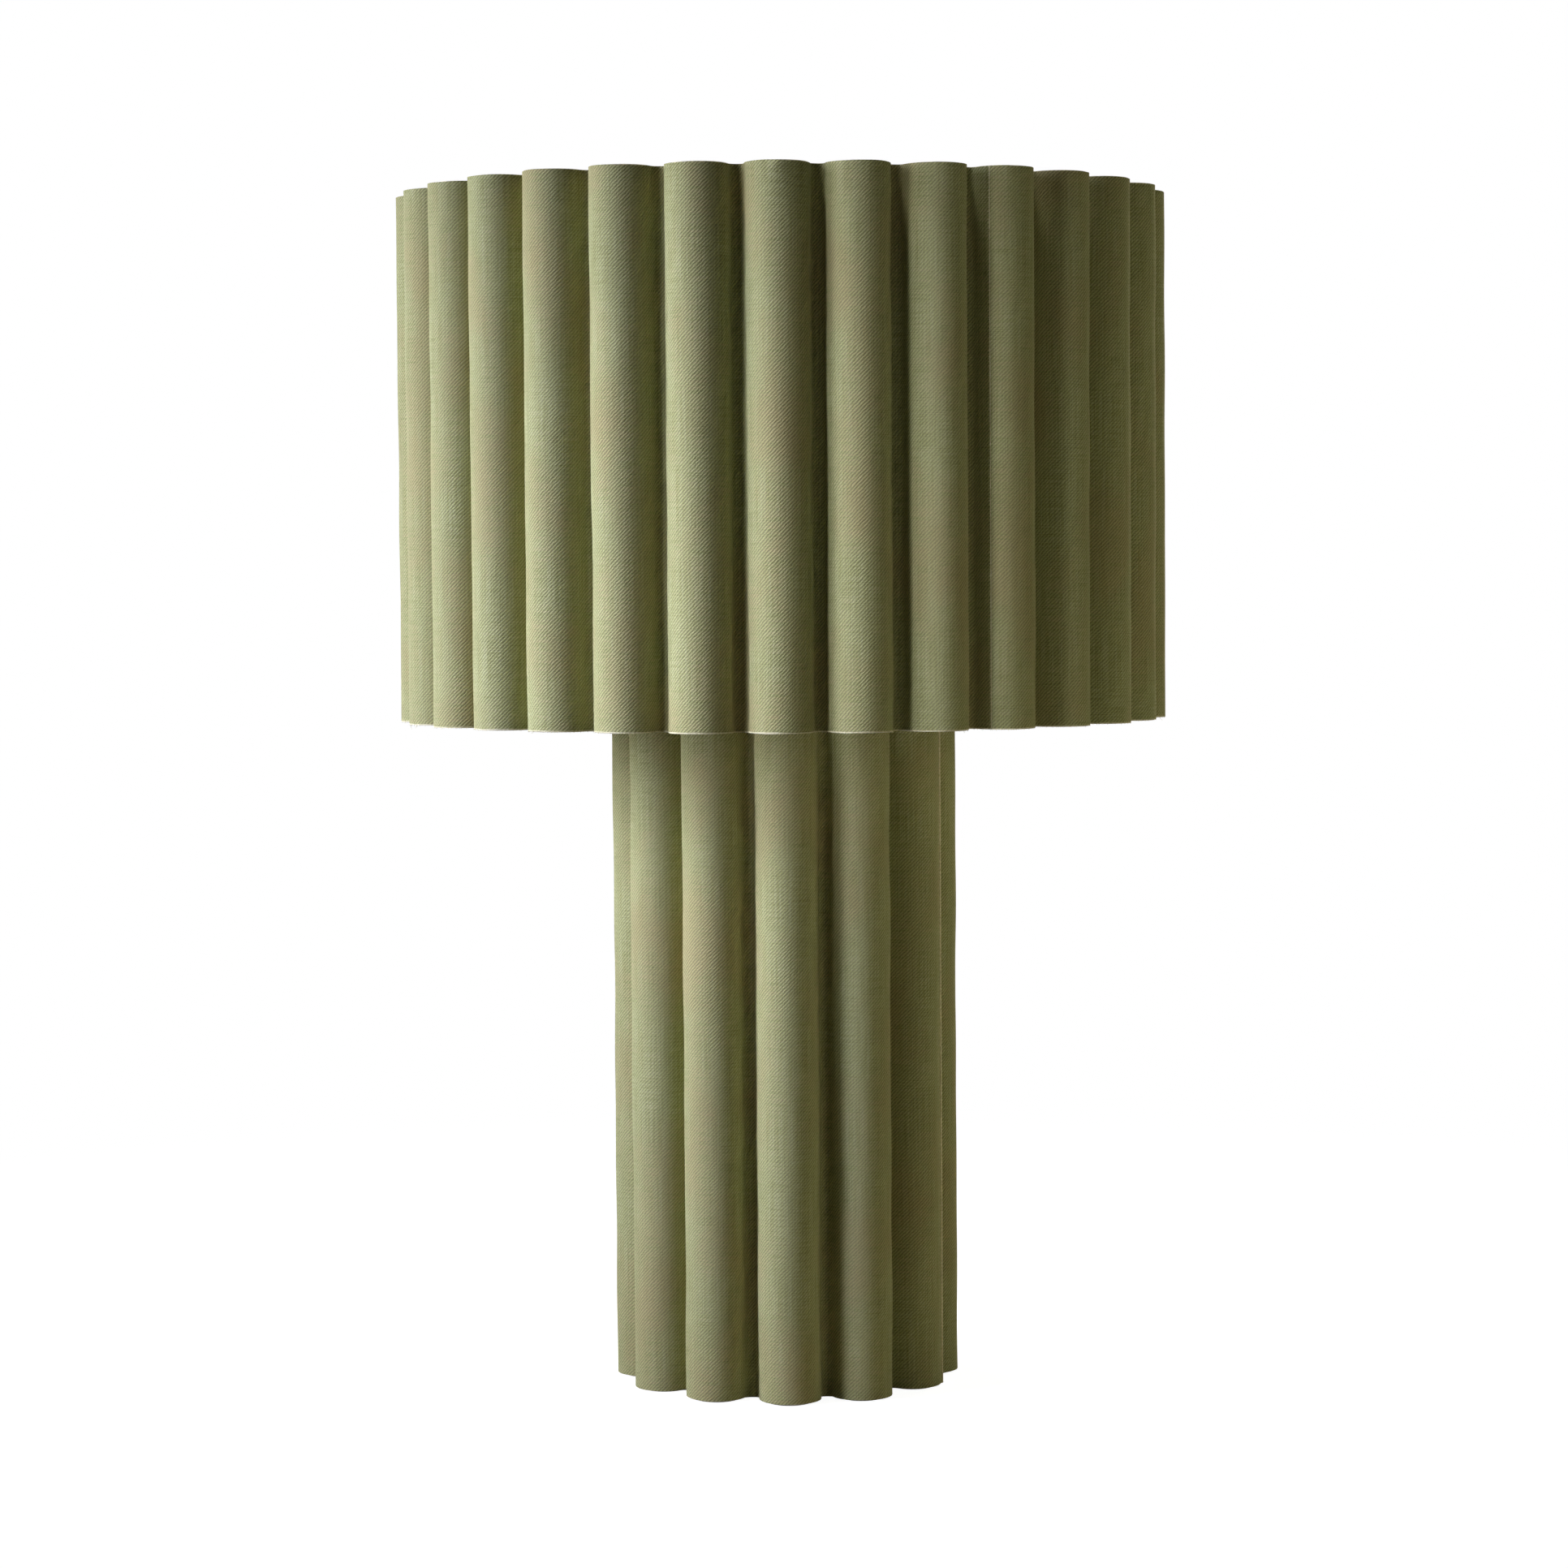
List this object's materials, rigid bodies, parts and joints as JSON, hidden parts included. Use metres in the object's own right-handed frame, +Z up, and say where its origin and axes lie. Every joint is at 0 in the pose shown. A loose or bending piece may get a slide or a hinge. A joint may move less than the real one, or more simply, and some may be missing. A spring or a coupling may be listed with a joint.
{
  "type": "table lamp",
  "caption": "Table lamp with a fluted fabric column and a wide fluted fabric drum shade held on a wire harp over a screw-in bulb with a turn switch.",
  "frame": {"origin": "on the table under the lamp's axis, at the underside of the felt pad", "axes": "+Z up along the lamp's axis; -Y is the front, where the switch knob points; the cord bushing is at +Y"},
  "size_m": [0.3986, 0.4, 0.62],
  "materials": {
    "linen_green": "matte twill weave",
    "liner_white": "matt",
    "board_ply": "bare",
    "felt_dark": "felt",
    "weight_iron": "as cast",
    "zinc_steel": "zinc plated",
    "brass_satin": "satin",
    "black_plastic": "moulded",
    "white_wire": "powder coat",
    "card_sleeve": "bare",
    "aluminium_thin": "bright",
    "frosted_glass": "frosted"
  },
  "bodies": {
    "base": {"column_fabric": "linen_green", "column_liner": "liner_white", "bottom_board": "board_ply", "felt_pad": "felt_dark", "base_weight": "weight_iron", "top_board": "board_ply", "top_cover": "linen_green", "lamp_pipe": "zinc_steel", "bottom_washer": "zinc_steel", "bottom_nut": "zinc_steel", "weight_washer": "zinc_steel", "weight_nut": "zinc_steel", "top_washer": "zinc_steel", "top_nut": "zinc_steel", "neck_cover": "brass_satin", "cord_bushing": "black_plastic", "harp_saddle": "brass_satin", "socket_cap": "brass_satin", "socket_shell": "brass_satin", "socket_sleeve": "card_sleeve", "socket_body": "black_plastic", "terminal_screws": "brass_satin", "socket_screw_shell": "aluminium_thin", "socket_contact": "brass_satin"},
    "switch": {"switch_shaft": "brass_satin", "switch_knob": "black_plastic"},
    "harp": {"harp_loop": "brass_satin", "harp_stud": "brass_satin"},
    "ferrule_left": {"harp_ferrule_left": "brass_satin"},
    "ferrule_right": {"harp_ferrule_right": "brass_satin"},
    "shade": {"shade_fabric": "linen_green", "shade_liner": "liner_white", "shade_top_ring": "white_wire", "shade_bottom_ring": "white_wire", "shade_spider": "white_wire"},
    "finial_thread": {"finial_base": "brass_satin"},
    "finial": {"finial_knob": "brass_satin"},
    "bulb_foot": {"bulb_contact": "brass_satin", "bulb_insulator": "black_plastic"},
    "bulb": {"bulb_cap": "aluminium_thin", "bulb_glass": "frosted_glass"}
  },
  "joints": [
    {"name": "switch_turn", "type": "hinge", "parent": "base", "child": "switch", "pos_m": [0, 0, 0.422], "axis": [0, -1, 0], "continuous": true},
    {"name": "harp_lift", "type": "slide", "parent": "base", "child": "harp", "axis": [0, 0, 1], "range_m": [0, 0.03]},
    {"name": "ferrule_left_slide", "type": "slide", "parent": "harp", "child": "ferrule_left", "axis": [0, 0, 1], "range_m": [0, 0.018]},
    {"name": "ferrule_right_slide", "type": "slide", "parent": "harp", "child": "ferrule_right", "axis": [0, 0, 1], "range_m": [0, 0.018]},
    {"name": "shade_swivel", "type": "hinge", "parent": "harp", "child": "shade", "pos_m": [0, 0, 0.594], "axis": [0, 0, 1], "continuous": true},
    {"name": "finial_rise", "type": "slide", "parent": "harp", "child": "finial_thread", "axis": [0, 0, 1], "range_m": [0, 0.0047]},
    {"name": "finial_turn", "type": "hinge", "parent": "finial_thread", "child": "finial", "pos_m": [0, 0, 0.602], "axis": [0, 0, 1], "range_deg": [0, 1800]},
    {"name": "bulb_rise", "type": "slide", "parent": "base", "child": "bulb_foot", "axis": [0, 0, 1], "range_m": [0, 0.0217]},
    {"name": "bulb_turn", "type": "hinge", "parent": "bulb_foot", "child": "bulb", "pos_m": [0, 0, 0.44], "axis": [0, 0, 1], "range_deg": [0, 2160]}
  ],
  "couplings": [
    {"joint": "finial_turn", "follows": "finial_rise", "rad_per_m": 6680},
    {"joint": "bulb_turn", "follows": "bulb_rise", "rad_per_m": 1731.6}
  ]
}
